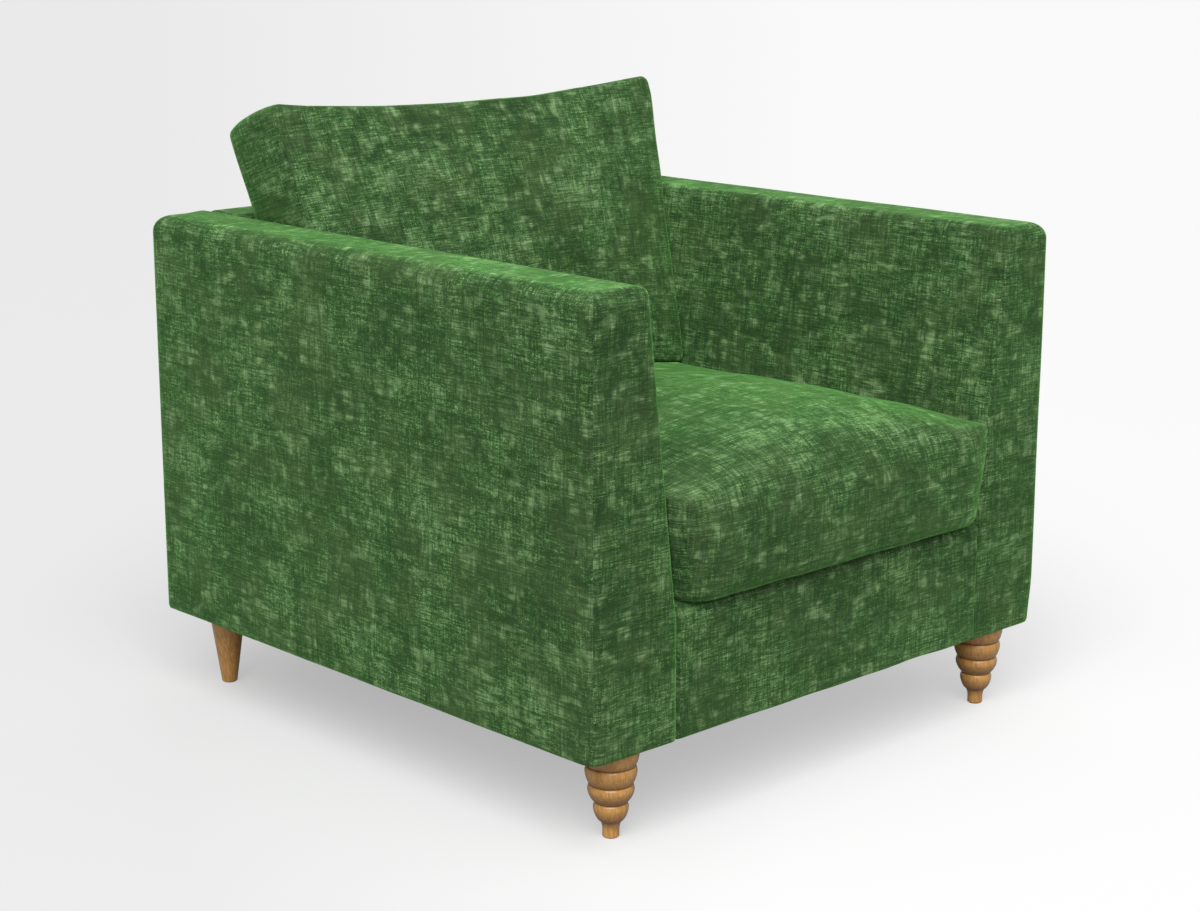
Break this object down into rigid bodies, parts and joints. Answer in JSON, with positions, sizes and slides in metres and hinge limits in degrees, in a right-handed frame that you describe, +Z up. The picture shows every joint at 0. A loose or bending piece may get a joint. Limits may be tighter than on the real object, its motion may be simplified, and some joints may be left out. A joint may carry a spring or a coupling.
{
  "type": "upholstered armchair",
  "caption": "Low upholstered armchair with straight sloped arms, a loose boxed seat cushion, a loose leaning back cushion, turned front legs and tapered back legs.",
  "frame": {"origin": "on the floor, below the middle of the chair's whole box", "axes": "+Z up, front faces -Y, +X towards the arm on the right when seen from the front"},
  "size_m": [0.86, 0.923, 0.8463],
  "materials": {
    "velvet": "slubbed green velvet, matt with a soft sheen",
    "deck_cloth": "plain green lining cloth",
    "dust_cloth": "black nonwoven cloth",
    "foam": "cut polyurethane foam",
    "wadding": "polyester wadding",
    "webbing": "woven elastic web",
    "hardboard": "smooth hardboard",
    "timber": "planed softwood",
    "oak": "turned oak, satin lacquer",
    "steel": "bright zinc",
    "zip_tape": "dark green woven tape"
  },
  "bodies": {
    "chair_body": {"base_front": "timber", "base_back": "timber", "base_left": "timber", "base_right": "timber", "base_brace": "timber", "front_rail": "timber", "back_rail": "timber", "side_rail_left": "timber", "side_rail_right": "timber", "corner_blocks": "timber", "front_post_left": "timber", "front_post_right": "timber", "back_post_left": "timber", "back_post_right": "timber", "arm_mid_post_left": "timber", "arm_mid_post_right": "timber", "arm_top_rail_left": "timber", "arm_top_rail_right": "timber", "arm_tack_rail_left": "timber", "arm_tack_rail_right": "timber", "back_top_rail": "timber", "back_tack_rail": "timber", "back_mid_post": "timber", "seat_springs": "steel", "spring_clips": "steel", "back_webs": "webbing", "arm_board_left": "hardboard", "arm_board_right": "hardboard", "back_board": "hardboard", "back_wadding": "wadding", "arm_foam_left": "foam", "arm_foam_right": "foam", "back_foam": "foam", "panel_foam": "foam", "deck_pad": "wadding", "arm_cover_left": "velvet", "arm_cover_right": "velvet", "back_cover": "velvet", "outside_back_cover": "velvet", "panel_cover": "velvet", "deck_cover": "deck_cloth", "dust_cover": "dust_cloth", "front_leg_left": "oak", "front_leg_right": "oak", "back_leg_left": "oak", "back_leg_right": "oak", "leg_bolts": "steel", "insert_nuts": "steel", "corner_screws": "steel"},
    "seat_cushion": {"seat_cushion_cover": "velvet", "seat_cushion_core": "foam", "seat_zip": "zip_tape"},
    "zip_slider": {"seat_zip_slider": "steel"},
    "back_cushion": {"back_cushion_cover": "velvet", "back_cushion_core": "foam"}
  },
  "joints": [
    {"name": "seat_cushion_lift", "type": "slide", "parent": "chair_body", "child": "seat_cushion", "axis": [0, 0, 1], "range_m": [0, 0.42]},
    {"name": "back_cushion_lift", "type": "slide", "parent": "seat_cushion", "child": "back_cushion", "axis": [0, 0, 1], "range_m": [0, 0.32]},
    {"name": "zip_run", "type": "slide", "parent": "seat_cushion", "child": "zip_slider", "axis": [-1, 0, 0], "range_m": [0, 0.488]}
  ]
}
